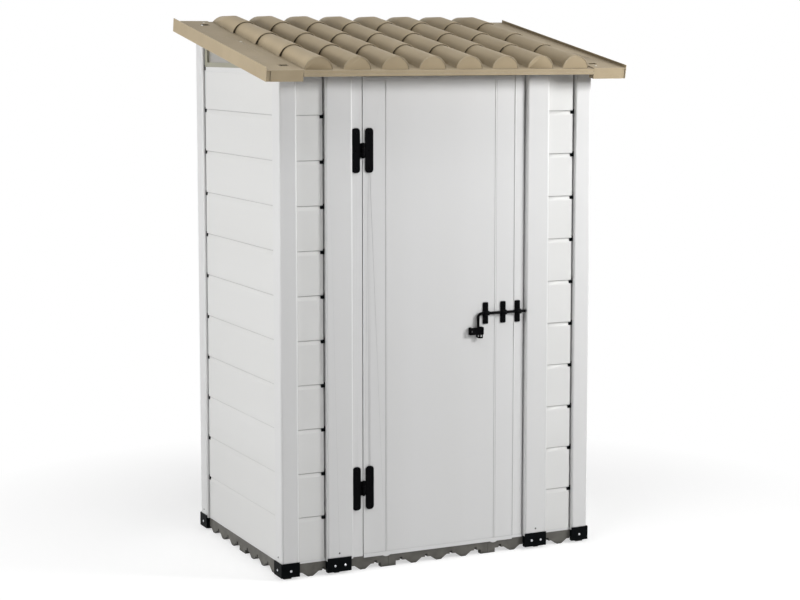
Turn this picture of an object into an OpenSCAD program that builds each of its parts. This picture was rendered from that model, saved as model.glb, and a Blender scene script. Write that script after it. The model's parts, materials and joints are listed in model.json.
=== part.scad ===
// Garden shed in hollow planks, with a tiled lean-to roof, one hinged door and a sliding bolt.
// Millimetres. The ground is z = 0, the front of the shed faces -Y, and the origin is under the
// middle of the whole shed, roof included.

/* [Walls] */
// Width of the plank stack between the left post and jamb
left_stack_w = 97; // [60:1:300]
// Width of the plank stack between the right jamb and post
right_stack_w = 103; // [60:1:300]
// Depth over the corner posts
wall_d = 820; // [740:10:1000]
// Height of one plank, joint to joint
plank_h = 154.2; // [148:0.1:160]
// Thickness of a plank
plank_t = 22; // [18:1:26]
// Skin of the hollow planks and boards
skin = 2; // [1.6:0.1:2.6]
// Bevelled band along the top of each plank
band_h = 16; // [10:1:24]
// How deep the band falls back
band_d = 2.5; // [1.5:0.1:3]
// Open joint between the band and the plank above
joint_h = 1.5; // [0.5:0.1:2]
// Rows of planks in the side walls
side_rows = 11; // [10:1:11]
// Rows of planks in the rear wall
rear_rows = 12; // [11:1:12]
// Height of the tongue on top of a plank
tongue_h = 6; // [4:0.5:8]
// Thickness of that tongue
tongue_w = 6; // [4:0.5:8]
// Gap between the end of a plank and its post
end_gap = 5; // [3:0.5:7]
// Gap at the left end of the front planks
near_gap = 1; // [0.5:0.5:2]

/* [Posts and jambs] */
// Side of a corner post
post = 66; // [60:1:76]
// How far the planks and the door lie behind the posts
recess = 11; // [8:1:14]
// How far the door jambs stand in front of the posts
jamb_proud = 4; // [2:0.5:5]
// Rounding of post and jamb edges
edge_r = 8; // [4:1:9]
// Wall of posts and jambs
post_wall = 2.5; // [2:0.1:3]
// Width of the left jamb box
jamb_l_w = 101; // [95:1:104]
// Width of the thin strip beside the left jamb box
strip_w = 40.9; // [30:0.1:50]
// Width of the right jamb box
jamb_r_w = 91; // [84:1:96]
// Depth of a jamb behind the front of the posts
jamb_d = 45; // [42:1:60]
// Width of the inner strips and flanges that the planks close against
flange_w = 20; // [14:1:24]
// Thickness of those strips and flanges
flange_t = 3; // [2:0.5:4]

/* [Floor] */
// Height of the floor
floor_h = 48; // [40:1:56]
// Deck thickness of a floor tile
deck_t = 4; // [3:0.5:6]
// Height of the gap under the skirt between lobes
skirt_z = 16; // [10:1:22]
// Width of a lobe at the ground
lobe_w = 18; // [12:1:24]
// Width of a lobe where it leaves the skirt
lobe_top_w = 66; // [50:1:80]
// Width of the foot at a tile corner
foot_w = 29; // [20:1:34]
// Side of the small square drain holes
drain = 10; // [6:1:11]
// Depth of the pocket behind such a hole
pocket_l = 14; // [8:1:20]
// How far the lobes reach in under the floor
lobe_l = 22; // [10:1:30]
// Height of the sill rail under the planks
sill_h = 8.8; // [6:0.1:12]

/* [Shoes] */
// Height of a shoe
shoe_h = 50; // [40:1:60]
// Ground clearance of a shoe
shoe_z = 8; // [4:1:12]
// Plate thickness of a shoe
shoe_t = 3; // [2:0.5:4]
// Radius of a shoe screw head
shoe_head_r = 4.5; // [3:0.1:6]
// Radius of a shoe screw shank
shoe_shank_r = 2.4; // [1.5:0.1:3]

/* [Door] */
// Clear gap beside the lock stile
door_gap = 5.6; // [4:0.1:8]
// Clear gap on the hinge side
hinge_gap = 3; // [2:0.5:5]
// Bottom of the door
door_z = 42; // [38:1:46]
// Top of the door
door_top = 1726; // [1700:1:1727]
// Width of the left board
left_board_w = 84.3; // [70:0.1:95]
// Width of the left joint strip
joint_l_w = 7; // [5:0.5:12]
// Width of the centre panel
centre_w = 419.8; // [360:0.1:600]
// Width of the right joint strip
joint_r_w = 13; // [8:0.5:18]
// Width of the right board
right_board_w = 70; // [60:1:80]
// Width of the lock stile
stile_w = 40.4; // [36:0.1:50]
// Thickness of the lip that hangs in front of the floor
lip_t = 2.2; // [1.5:0.1:2.4]
// Clearance of the door over the floor
floor_gap = 2.5; // [1:0.5:5]
// Height of the bottom and top rails
rail_h = 13; // [10:1:18]

/* [Hinges] */
// Height of the lower hinge middle
hinge_lower_z = 292; // [250:1:400]
// Height of the upper hinge middle
hinge_upper_z = 1474; // [1300:1:1550]
// Length of a hinge bar
bar_h = 154; // [120:1:180]
// Width of a hinge bar
bar_w = 30; // [24:1:32]
// Thickness of a hinge leaf
leaf_t = 4; // [3:0.5:5]
// Length of the hinge barrel
barrel_h = 50; // [40:1:60]
// Outer radius of the barrel
barrel_r = 5.5; // [5:0.1:6]
// Radius of the hinge pin
pin_r = 2.5; // [2:0.1:3]
// Running clearance of the pin, on the radius
pin_fit = 0.05; // [0.02:0.01:0.09]

/* [Bolt] */
// Height of the bolt rod
bolt_z = 881; // [820:1:980]
// Radius of the bolt rod
rod_r = 5; // [4:0.5:6]
// Distance of the rod's axis from the door face
rod_off = 8; // [7.5:0.5:9]
// Clearance round the rod in its straps
rod_fit = 0.4; // [0.3:0.1:0.6]
// Left edges of the three guide straps, from the left edge of the lock stile
strap_set = [-124.5, -53.5, 5.5];
// Distance of a strap's screws from its ends
strap_screw_set = 11; // [8:0.5:14]
// Width of a guide strap
strap_w = 21; // [16:1:24]
// Height of a guide strap
strap_h = 78; // [66:1:90]
// Ear thickness of a guide strap
strap_t = 3; // [2:0.5:3]
// Distance of the handle's axis from the left edge of the lock stile
handle_set = 146.5; // [144:0.5:152]
// Bend radius of the rod
bend_r = 13; // [11:1:14]
// Length of the handle from the rod's axis to the eye
handle_l = 79; // [70:1:90]
// Radius of the padlock hole
eye_r = 4; // [3:0.5:5]
// Travel of the bolt to its closed stop
bolt_close = 8; // [6:0.5:8]
// Travel of the bolt to its open stop
bolt_open = 24; // [16:1:30]

/* [Roof] */
// Slope of the roof in degrees
slope = 10.4; // [9.5:0.1:10.8]
// Height of the tile panel at the eave
eave_z = 1749; // [1746:1:1755]
// Overhang in front of the posts
eave_over = 100; // [70:1:140]
// Overhang behind the posts
rear_over = 6; // [4:1:30]
// Overhang at each side
side_over = 83; // [60:1:100]
// Thickness of the roof sheet
sheet_t = 3; // [2:0.5:4]
// Tile columns
columns = 8; // [6:2:10]
// Tiles in a column
tiles = 4; // [3:1:6]
// Flat strip between the posts' outer face and the tile columns
tile_margin = 43.2; // [36:0.1:60]
// Tile radius at its lower end
tile_r = 53; // [46:1:56]
// Tile radius at its upper end
tile_tail_r = 43.5; // [40:0.5:48]
// Depth of a tile's centre under the sheet at its lower end
tile_sink = 9; // [6:1:14]
// Depth of a tile's centre under the sheet at its upper end
tile_tail_sink = 4; // [0:0.5:6]
// How far a tile's lip overhangs the tile below
lip_l = 14; // [8:1:20]
// Height of the rear end of the last tiles above the sheet
tile_end_h = 22; // [16:1:30]
// Distance of the lowest tiles from the eave edge
tile_set = 26; // [15:1:40]
// Length of one tile along the slope
tile_l = 225.7; // [200:0.1:232]
// Height of the rim above the tray
rim_h = 13; // [8:1:18]
// Depth of the verge skirt under the tray
skirt_d = 36; // [26:1:36]
// Width of the deep block at each end of the eave
block_w = 134; // [110:1:140]
// Length of the plate behind the inner end of that block
block_l = 30; // [20:1:50]
// Width of the set-back strip beside the skirt at that block
fillet_w = 17; // [10:1:30]
// How far that strip is set back
fillet_d = 2.5; // [1:0.5:2.5]
// Depth of the eave fascia
fascia_d = 20; // [14:1:22]
// Width of the fascia's ledge under the sheet
ledge_w = 30; // [20:1:50]
// Height of the fascia's proud lower band
lip_band_h = 9; // [6:0.5:12]

/* [Gable windows] */
// Width of the gable frame rails
gable_rail = 22; // [16:1:26]
// Height of the gable frame's bottom rail
gable_sill = 16; // [12:1:24]
// Thickness of the window pane
pane_t = 4; // [3:0.5:6]
// Depth that the pane sits in its frame
rebate = 6; // [4:1:10]

/* [Hidden] */
$fn = 48;
rise = tan(slope);
jamb_l_x = post + near_gap + left_stack_w + end_gap;
jamb_l_end = jamb_l_x + jamb_l_w;
strip_end = jamb_l_end + strip_w;
door_x = strip_end + hinge_gap;
joint_l_x = door_x + left_board_w;
centre_x = joint_l_x + joint_l_w;
joint_r_x = centre_x + centre_w;
right_board_x = joint_r_x + joint_r_w;
stile_x = right_board_x + right_board_w;
door_w = stile_x + stile_w - door_x;
jamb_r_x = door_x + door_w + door_gap;
jamb_r_end = jamb_r_x + jamb_r_w;
wall_w = jamb_r_end + near_gap + right_stack_w + end_gap + post;
roof_len = (wall_d + eave_over + rear_over) / cos(slope);
origin_y = (wall_d + rear_over + skirt_d * sin(slope) - eave_over - rim_h * sin(slope)) / 2;
clear = 0.3;
inner_face = recess + plank_t;
plank_z = floor_h + sill_h;
plank_cells = 3;
side_top = plank_z + side_rows * plank_h;
floor_w = wall_w - 2 * recess;
floor_d = wall_d - 2 * recess;
tile_nx = 3;
tile_ny = 2;
floor_tile_w = floor_w / tile_nx;
floor_tile_d = floor_d / tile_ny;
skirt_t = 4;
shoe_top = shoe_z + shoe_h;
jamb_y = -jamb_proud;
jamb_shoe_short_l = 10;
jamb_shoe_short_r = 2;
shoe_screw_z = 30;
post_screw_z = 75;
jamb_screw_z = 73;
stop_w = 12;
sole_z = floor_h + floor_gap;
drop_r = 25;
drop_d = 4.5;
hinge_x = door_x - hinge_gap / 2;
barrel_gap = 1;
hinge_y = recess - barrel_gap - barrel_r;
bar_off = 10;
hinge_zs = [hinge_lower_z, hinge_upper_z];
screw_r = 1.9;
screw_head_r = 4;
bridge_head_r = 3.4;
screw_l = 16;
bar_screw_set = 17;
screw_steps = [-bar_h / 2 + bar_screw_set, 0, bar_h / 2 - bar_screw_set];
strap_x = [for (s = strap_set) stile_x + s];
strap_screw_z = [bolt_z - strap_h / 2 + strap_screw_set, bolt_z + strap_h / 2 - strap_screw_set];
handle_x = stile_x - handle_set;
rod_y = recess - rod_off;
tip_gap = 2;
rod_tip_x = jamb_r_x - tip_gap;
eye_z = bolt_z - handle_l;
eye_wall = 4.5;
eye_ring_r = eye_r + eye_wall;
eye_t = 5.5;
eye_front = 4.5;
eye_y = rod_y - eye_front;
bridge_t = 2.5;
bridge_h = 26;
bridge_drop = 61;
bridge_z = bolt_z - bridge_drop;
bridge_y = rod_y - rod_r - 1 - bridge_t;
bridge_play = 3;
bridge_foot = 10.5;
bridge_x0 = handle_x - rod_r - bolt_open - bridge_play - bridge_t;
bridge_x1 = handle_x + rod_r + bolt_close + bridge_play + bridge_t;
column_pitch = (wall_w - 2 * tile_margin) / columns;
verge_inner_x = block_w - side_over;
clip_w = 10;
clip_h = 18;
clip_drop = 12.5;
clip_proud = 0.4;
header_z = side_top;
lintel_z = door_top + 5;
stop_h = 16;
tile_wall = 2.5;
cap_set = 0.4;
roof_screw_x = recess + plank_t / 2;
roof_screw_set = 40;
roof_screw_v = 513;
slot_x = -6;
slot_v = 71;
slot_w = 34;
slot_l = 26;
slot_lean = 45;
purlin_v = (eave_over + wall_d / 2) / cos(slope);
purlin_w = 40;
purlin_h = 30;
seat_w = 50;
seat_l = 14;
seat_h = 14;

// Height of the underside of the roof sheet at a distance behind the front of the posts
function roof_under(y) = eave_z + (y + eave_over) * rise - sheet_t / cos(slope) - clear;

// Places a child that is drawn from the front left corner of the posts
module site() {
    translate([-wall_w / 2, -origin_y, 0]) children();
}

// Places a child in the roof's own frame: x across, y up the slope, z square to the sheet
module on_roof() {
    site() translate([0, -eave_over, eave_z]) rotate([slope, 0, 0]) children();
}

// Mirrors a child to the right-hand side
module mirror_x(side) {
    if (side == "right") {
        translate([wall_w, 0, 0]) mirror([1, 0, 0]) children();
    } else {
        children();
    }
}

// Mirrors a child to the rear
module mirror_y(row) {
    if (row == "rear") {
        translate([0, wall_d, 0]) mirror([0, 1, 0]) children();
    } else {
        children();
    }
}

// Rectangle with its two front corners rounded, front towards -Y
module round_front(w, d, r) {
    translate([0, r]) square([w, d - r]);
    translate([r, 0]) square([w - 2 * r, r]);
    translate([r, r]) circle(r);
    translate([w - r, r]) circle(r);
}

// Floor

// Feet and lobes under one edge of a floor tile
module lobe_outline(length) {
    top = skirt_z + 1;
    for (x = [0, length - foot_w]) translate([x, 0]) square([foot_w, top]);
    for (i = [1:3]) translate([i * length / 4, 0])
        polygon([[-lobe_w / 2, 0], [lobe_w / 2, 0], [lobe_top_w / 2, top], [-lobe_top_w / 2, top]]);
}

// Edge of a floor tile along +X with its outer face at y = 0
module skirt_side(length) {
    difference() {
        union() {
            upright(0, skirt_t) translate([0, skirt_z]) square([length, floor_h - skirt_z]);
            upright(0, lobe_l) lobe_outline(length);
            for (i = [0:3]) translate([(i + 0.5) * length / 4 - drain / 2 - skin, skirt_t - 1, skirt_z])
                cube([drain + 2 * skin, pocket_l, floor_h - deck_t / 2 - skirt_z]);
        }
        for (i = [0:3]) translate([(i + 0.5) * length / 4 - drain / 2, -1, skirt_z - 1])
            cube([drain, skirt_t + pocket_l - skin, drain + 1]);
    }
}

module rib_outline(length) {
    translate([0, skirt_z]) square([length, floor_h - deck_t / 2 - skirt_z]);
}

// Stands an outline up along X, from y over a thickness
module upright(y, t) {
    translate([0, y + t, 0]) rotate([90, 0, 0]) linear_extrude(t) children();
}

module floor_tile(index) {
    col = index % tile_nx;
    row = floor(index / tile_nx);
    w = floor_tile_w - clear;
    d = floor_tile_d - clear;
    color("#6f6c66") site()
        translate([recess + col * floor_tile_w + clear / 2, recess + row * floor_tile_d + clear / 2, 0]) {
            translate([0, 0, floor_h - deck_t]) cube([w, d, deck_t]);
            skirt_side(w);
            translate([w, d, 0]) rotate([0, 0, 180]) skirt_side(w);
            translate([0, d, 0]) rotate([0, 0, -90]) skirt_side(d);
            translate([w, 0, 0]) rotate([0, 0, 90]) skirt_side(d);
            for (i = [1:3]) {
                upright(i * d / 4 - skirt_t / 2, skirt_t) rib_outline(w);
                translate([i * w / 4 + skirt_t / 2, 0, 0]) rotate([0, 0, 90])
                    upright(0, skirt_t) rib_outline(d);
                for (j = [1:3])
                    translate([i * w / 4 - lobe_w / 2, j * d / 4 - lobe_w / 2, 0])
                        cube([lobe_w, lobe_w, floor_h - deck_t / 2]);
            }
        }
}

// Shoes and their screws

module corner_shoe(side, row) {
    color("#191c1d") site() mirror_x(side) mirror_y(row) difference() {
        translate([-shoe_t, -shoe_t, shoe_z]) cube([post + shoe_t, post + shoe_t, shoe_h]);
        translate([0, 0, floor_h]) cube([post + 1, post + 1, shoe_top]);
        translate([recess, recess, 0]) cube([post, post, shoe_top]);
        shoe_screw_holes(corner_spots(), shoe_shank_r);
    }
}

// Two screws on the faces of a corner, given as place, turn
function corner_spots() = [
    [[post / 2, -shoe_t, shoe_screw_z], 0],
    [[-shoe_t, post / 2, shoe_screw_z], -90]];
function jamb_spots(side) = let (x = shoe_x(side), w = shoe_w(side))
    [for (f = [0.32, 0.74]) [[x + f * w, jamb_y - shoe_t, shoe_screw_z], 0]];
function shoe_x(side) = side == "left" ? jamb_l_x : jamb_r_x;
function shoe_w(side) = side == "left" ? jamb_l_w - jamb_shoe_short_l : jamb_r_w - jamb_shoe_short_r;

module shoe_screw_holes(spots, r) {
    for (s = spots) translate(s[0]) rotate([0, 0, s[1]]) rotate([-90, 0, 0])
        cylinder(r = r, h = shoe_t + recess + skirt_t + 5);
}

module pan_screw(head_r, head_h, shank_r, length) {
    rotate([-90, 0, 0]) {
        translate([0, 0, -head_h]) cylinder(r1 = head_r * 0.7, r2 = head_r, h = head_h);
        cylinder(r = shank_r, h = length);
    }
}

module jamb_shoe(side) {
    x = shoe_x(side);
    w = shoe_w(side);
    color("#191c1d") site() difference() {
        translate([x, jamb_y - shoe_t, shoe_z]) cube([w, shoe_t - jamb_y + recess, shoe_h]);
        translate([x - 1, jamb_y, floor_h]) cube([w + 2, post, shoe_top]);
        shoe_screw_holes(jamb_spots(side), shoe_shank_r);
    }
}

module shoe_screws() {
    color("#c9cdd0") site() {
        for (side = ["left", "right"]) for (row = ["front", "rear"])
            mirror_x(side) mirror_y(row)
                for (s = corner_spots()) translate(s[0]) rotate([0, 0, s[1]])
                    pan_screw(shoe_head_r, 2.2, shoe_shank_r, shoe_t + recess + 2);
        for (s = concat(jamb_spots("left"), jamb_spots("right")))
            translate(s[0]) pan_screw(shoe_head_r, 2.2, shoe_shank_r, shoe_t + recess - jamb_y + 2);
    }
}

// The shoe screws bite in the floor, so its corner holes match
module floor_tile_drilled(index) {
    difference() {
        floor_tile(index);
        site() {
            for (side = ["left", "right"]) for (row = ["front", "rear"])
                mirror_x(side) mirror_y(row) shoe_screw_holes(corner_spots(), shoe_shank_r);
            for (side = ["left", "right"]) shoe_screw_holes(jamb_spots(side), shoe_shank_r);
        }
    }
}

// Posts and jambs

// Small screws near the foot of the posts and jambs, given as place, turn
function post_spots() = [[[0, post / 2, post_screw_z], -90]];
function jamb_screw_spots() = [
    [[jamb_l_x + jamb_l_w * 0.46, jamb_y, jamb_screw_z], 0],
    [[jamb_r_x + jamb_r_w * 0.5, jamb_y, jamb_screw_z], 0]];

module corner_post(side, row) {
    top = row == "front" ? roof_under(0) : roof_under(wall_d - post);
    rounds = [edge_r, post - edge_r];
    cells = [post_wall, (post + post_wall) / 2];
    color("#f2f2ef") site() mirror_x(side) mirror_y(row) difference() {
        translate([0, 0, floor_h]) linear_extrude(top - floor_h) difference() {
            union() {
                translate([edge_r, 0]) square([post - 2 * edge_r, post]);
                translate([0, edge_r]) square([post, post - 2 * edge_r]);
                for (x = rounds) for (y = rounds) translate([x, y]) circle(edge_r);
            }
            for (x = cells) for (y = cells) translate([x, y]) square((post - 3 * post_wall) / 2);
        }
        for (s = post_spots()) translate(s[0]) rotate([0, 0, s[1]]) rotate([-90, 0, 0])
            cylinder(r = screw_r, h = screw_l);
    }
}

// Upright strips beside the posts that the plank ends close against
module corner_strips() {
    w = flange_w - clear / 2;
    color("#f2f2ef") site() for (side = ["left", "right"]) for (row = ["front", "rear"]) {
        h = (row == "front" ? roof_under(0) : roof_under(wall_d - post - flange_w)) - floor_h;
        mirror_x(side) mirror_y(row) {
            translate([post + clear / 2, inner_face, floor_h]) cube([w, flange_t, h]);
            translate([inner_face, post + clear / 2, floor_h]) cube([flange_t, w, h]);
        }
    }
}

module jamb_section(side) {
    x = side == "left" ? jamb_l_x : jamb_r_x;
    w = side == "left" ? jamb_l_w : jamb_r_w;
    d = jamb_d - jamb_y;
    strip = side == "left" ? strip_w : 0;
    difference() {
        union() {
            translate([x, jamb_y]) round_front(w, d, edge_r);
            translate([x + w - 1, recess]) square([strip + 1, jamb_d - recess]);
            if (side == "left") {
                translate([x - flange_w, inner_face]) square([flange_w + 1, flange_t]);
                translate([strip_end - 1, inner_face + 1]) square([stop_w + 1, jamb_d - inner_face - 1]);
            } else {
                translate([x + w - 1, inner_face]) square([flange_w + 1, flange_t]);
                translate([x - stop_w, inner_face + 1]) square([stop_w + 1, jamb_d - inner_face - 1]);
            }
        }
        translate([x + post_wall, jamb_y + post_wall]) square([w / 2 - 1.5 * post_wall, d - 2 * post_wall]);
        translate([x + w / 2 + post_wall / 2, jamb_y + post_wall])
            square([w / 2 - 1.5 * post_wall, d - 2 * post_wall]);
        if (side == "left")
            translate([x + w + post_wall / 2, recess + post_wall])
                square([strip - 1.5 * post_wall, jamb_d - recess - 2 * post_wall]);
    }
}

module door_jamb(side) {
    color("#f2f2ef") site() difference() {
        translate([0, 0, floor_h]) linear_extrude(side_top - floor_h) jamb_section(side);
        for (s = jamb_screw_spots()) translate(s[0]) rotate([-90, 0, 0]) cylinder(r = screw_r, h = screw_l);
        if (side == "left") {
            leaf_screw_holes(-1);
        } else {
            translate([jamb_r_x - stop_w - 1, rod_y, bolt_z]) rotate([0, 90, 0])
                cylinder(r = rod_r + rod_fit + 0.2, h = stop_w + 20);
        }
    }
}

module post_screws() {
    color("#c9cdd0") site() {
        for (side = ["left", "right"]) for (row = ["front", "rear"])
            mirror_x(side) mirror_y(row) for (s = post_spots())
                translate(s[0]) rotate([0, 0, s[1]]) pan_screw(3.2, 1.6, screw_r, screw_l);
        for (s = jamb_screw_spots()) translate(s[0]) pan_screw(3.2, 1.6, screw_r, screw_l);
    }
}

// Planks

// Section of a plank: x is its thickness from the outer face, y its height
module plank_section(tongue) {
    top = plank_h - clear;
    cell = (top - tongue_h - 3 * skin) / plank_cells;
    difference() {
        union() {
            polygon([[0, 0], [plank_t, 0], [plank_t, top], [band_d + skin, top],
                     [band_d + skin, top - joint_h], [band_d, top - joint_h], [0, top - band_h]]);
            translate([(plank_t - tongue_w) / 2, top - skin]) square([tongue_w, tongue]);
        }
        translate([(plank_t - tongue_w) / 2 - clear, -1]) square([tongue_w + 2 * clear, tongue_h + 1]);
        for (i = [0:plank_cells - 1])
            translate([band_d + skin, tongue_h + 2 * skin + i * cell])
                square([plank_t - band_d - 2 * skin, cell - skin]);
    }
}

// Stack of planks along +X with the outer face towards -Y; the top plank has no tongue
module plank_stack(length, rows) {
    for (i = [0:rows - 1]) translate([0, 0, plank_z + i * plank_h])
        rotate([90, 0, 90]) linear_extrude(length)
            plank_section(i < rows - 1 ? tongue_h + skin - clear : skin);
}

module side_wall_planks(side) {
    length = wall_d - 2 * (post + end_gap);
    color("#f4f4f1") site() mirror_x(side)
        translate([recess, wall_d - post - end_gap, 0]) rotate([0, 0, -90]) plank_stack(length, side_rows);
}

module rear_wall_planks() {
    length = wall_w - 2 * (post + end_gap);
    color("#f4f4f1") site() translate([wall_w - post - end_gap, wall_d - recess, 0]) rotate([0, 0, 180])
        plank_stack(length, rear_rows);
}

module front_planks(side) {
    x0 = (side == "left" ? post : jamb_r_end) + near_gap;
    x1 = side == "left" ? jamb_l_x - end_gap : wall_w - post - end_gap;
    color("#f4f4f1") site() translate([x0, recess, 0]) plank_stack(x1 - x0, side_rows);
}

// Plank ends that have clips: place, turn, clips up the end, and 1 where the planks lie on its -X side
function clip_runs() = [
    [[jamb_l_x, recess], 0, side_rows - 1, 1],
    [[wall_w - post, recess], 0, side_rows - 1, 1],
    [[recess, wall_d - post], -90, side_rows, 0],
    [[recess, post], -90, side_rows, 1],
    [[wall_w - recess, post], 90, side_rows, 0],
    [[wall_w - recess, wall_d - post], 90, side_rows, 1],
    [[wall_w - post, wall_d - recess], 180, rear_rows - 1, 0],
    [[post, wall_d - recess], 180, rear_rows - 1, 1]];

// Black blocks in the gap between the plank ends and the posts, with a tab in front of the band
module plank_clips() {
    color("#1a1a1a") site() for (run = clip_runs()) for (i = [1:run[2]])
        translate([run[0][0], run[0][1], plank_z + i * plank_h]) rotate([0, 0, run[1]])
            mirror([run[3], 0, 0]) plank_clip();
}

module plank_clip() {
    translate([0, -clip_proud, -clip_drop]) cube([end_gap, plank_t + clip_proud, clip_h]);
    translate([end_gap - 1, 0, 0]) rotate([90, 0, 90]) linear_extrude(clip_w + 1)
        polygon([[-clip_proud, -clip_drop], [clip_proud, -clip_drop],
                 [band_d - clear, -joint_h - clear], [-clip_proud, -joint_h - clear]]);
}

module wall_sills() {
    t = plank_t - 2;
    color("#f2f2ef") site() {
        for (side = ["left", "right"]) mirror_x(side)
            translate([recess + 1, post, floor_h]) sill(t, wall_d - 2 * post, 90);
        translate([post, wall_d - recess - 1 - t, floor_h]) sill(t, wall_w - 2 * post, 0);
        translate([post, recess + 1, floor_h]) sill(t, jamb_l_x - post, 0);
        translate([jamb_r_end, recess + 1, floor_h]) sill(t, wall_w - post - jamb_r_end, 0);
    }
}

// Rail along +X (turn 0) or +Y (turn 90)
module sill(t, length, turn) {
    translate(turn == 90 ? [t, 0, 0] : [0, 0, 0]) rotate([0, 0, turn]) rotate([90, 0, 90])
        linear_extrude(length) difference() {
            square([t, sill_h - 0.1]);
            translate([skin, skin]) square([t - 2 * skin, sill_h - 2 * skin - 0.1]);
        }
}

// Gable frames and panes

function gable_y1() = wall_d - post - end_gap;
function gable_outer() = [
    [post + end_gap, side_top], [gable_y1(), side_top],
    [gable_y1(), roof_under(gable_y1())], [post + end_gap, roof_under(post + end_gap)]];
// Triangle of the opening, grown by a margin into the frame
function gable_hole(m) = let (
        z0 = side_top + gable_sill - m,
        y1 = gable_y1() - gable_rail + m,
        drop = (gable_rail - m) / cos(slope))
    [[(z0 + drop - roof_under(0)) / rise, z0], [y1, z0], [y1, roof_under(y1) - drop]];

module along_side(x, t) {
    translate([x, 0, 0]) rotate([90, 0, 90]) linear_extrude(t) children();
}

module gable_frame(side) {
    zp = eave_z + (eave_over + wall_d / 2) * rise - (sheet_t + purlin_h) / cos(slope);
    // Two seats carry the ends of the purlin
    color("#b9b29b") site() mirror_x(side) {
        difference() {
            along_side(recess, plank_t) polygon(gable_outer());
            along_side(recess - 1, plank_t + 2) polygon(gable_hole(0));
            along_side(recess + plank_t / 2 - pane_t / 2, pane_t) polygon(gable_hole(rebate));
            translate([0, -eave_over, eave_z]) rotate([slope, 0, 0]) roof_screw_holes(side);
        }
        along_side(inner_face, seat_l) translate([wall_d / 2, zp - clear])
            polygon([[-seat_w / 2, -seat_h - seat_w / 2 * rise], [seat_w / 2, -seat_h + seat_w / 2 * rise],
                     [seat_w / 2, seat_w / 2 * rise], [-seat_w / 2, -seat_w / 2 * rise]]);
        along_side(inner_face - 2 * skin, 2 * skin)
            translate([(wall_d - seat_w) / 2, side_top + gable_sill / 2])
                square([seat_w, zp - clear - side_top - gable_sill / 2 - seat_w / 2 * rise]);
    }
}

module gable_pane(side) {
    color("#9fb0c0", 0.5) site() mirror_x(side)
        along_side(recess + plank_t / 2 - pane_t / 2 + 0.1, pane_t - 0.2) polygon(gable_hole(rebate - clear));
}

// Header over the door and the front planks, with the stop that the door closes against
module front_header() {
    back_y = inner_face + 1;
    strip_h = roof_under(0) - header_z;
    color("#f2f2ef") site() difference() {
        union() {
            translate([post, recess, header_z]) cube([wall_w - 2 * post, jamb_d - recess, strip_h]);
            translate([strip_end + clear, recess, lintel_z])
                cube([jamb_r_x - strip_end - 2 * clear, plank_t + 1 - clear, header_z - lintel_z + 1]);
            translate([strip_end + stop_w + clear, back_y - clear - 1, lintel_z - stop_h])
                cube([jamb_r_x - strip_end - 2 * stop_w - 2 * clear, jamb_d - back_y + clear + 1,
                      header_z - lintel_z + stop_h + 1]);
        }
        translate([0, back_y - 2 * clear - 1, lintel_z - stop_h - 1])
            cube([wall_w, clear + 1 + clear, stop_h + 1]);
        for (x = [post - 1, wall_w - post - flange_w - clear])
            translate([x, inner_face - clear, header_z - 1])
                cube([flange_w + clear + 1, jamb_d, strip_h + 2]);
        translate([strip_end + skin + clear, recess + skin, lintel_z + skin])
            cube([jamb_r_x - strip_end - 2 * skin - 2 * clear, plank_t - 2 * skin,
                  header_z - lintel_z - skin]);
    }
}

// Roof

module roof_purlin() {
    color("#9a9c9e") on_roof()
        translate([inner_face + clear, purlin_v - purlin_w / 2, -sheet_t - purlin_h - clear / 3])
            rotate([90, 0, 90]) linear_extrude(wall_w - 2 * inner_face - 2 * clear) difference() {
            square([purlin_w, purlin_h]);
            translate([skin, skin]) square([purlin_w - 2 * skin, purlin_h - 2 * skin]);
        }
}

function column_x(i) = wall_w / 2 + (i - (columns - 1) / 2) * column_pitch;

function tile_v(k) = tile_set + k * tile_l;

// Cone of one tile between two distances from its mouth; inset makes the hollow inside it
module tile_cone(k, from, to, inset) {
    taper = (tile_r - tile_tail_r) / tile_l;
    lift = (tile_sink - tile_tail_sink) / tile_l;
    translate([0, tile_v(k) + from, lift * from - tile_sink]) rotate([atan(lift) - 90, 0, 0])
        cylinder(r1 = tile_r - inset - taper * from, r2 = tile_r - inset - taper * to, h = to - from);
}

// What is cut off a last tile, so that its rear end has a level top
module level_cut(inset) {
    half = sqrt(pow(tile_tail_r, 2) - pow(tile_tail_sink, 2));
    r = (pow(half, 2) + pow(tile_end_h, 2)) / (2 * tile_end_h);
    difference() {
        translate([-2 * tile_r, tile_v(tiles - 1) + tile_r, -tile_r]) cube([4 * tile_r, tile_l, 3 * tile_r]);
        translate([0, roof_len, tile_end_h]) rotate([-slope, 0, 0]) translate([0, -2 * tile_l, -r])
            rotate([-90, 0, 0]) cylinder(r = r - inset, h = 3 * tile_l);
    }
}

// Solid of one tile, with a gap under its lip round the tail of the tile below
module tile_body(k) {
    last = k == tiles - 1;
    difference() {
        tile_cone(k, 0, last ? roof_len - tile_v(k) + tile_wall : tile_l + lip_l + tile_wall, 0);
        if (k > 0) tile_cone(k, -1, lip_l, tile_wall);
        if (last) level_cut(0);
    }
}

module tile_hollow(k) {
    last = k == tiles - 1;
    difference() {
        tile_cone(k, k == 0 ? -2 * tile_wall : lip_l + tile_wall,
                  last ? roof_len - tile_v(k) - tile_wall : tile_l + lip_l, tile_wall);
        if (last) level_cut(tile_wall);
    }
}

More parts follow.
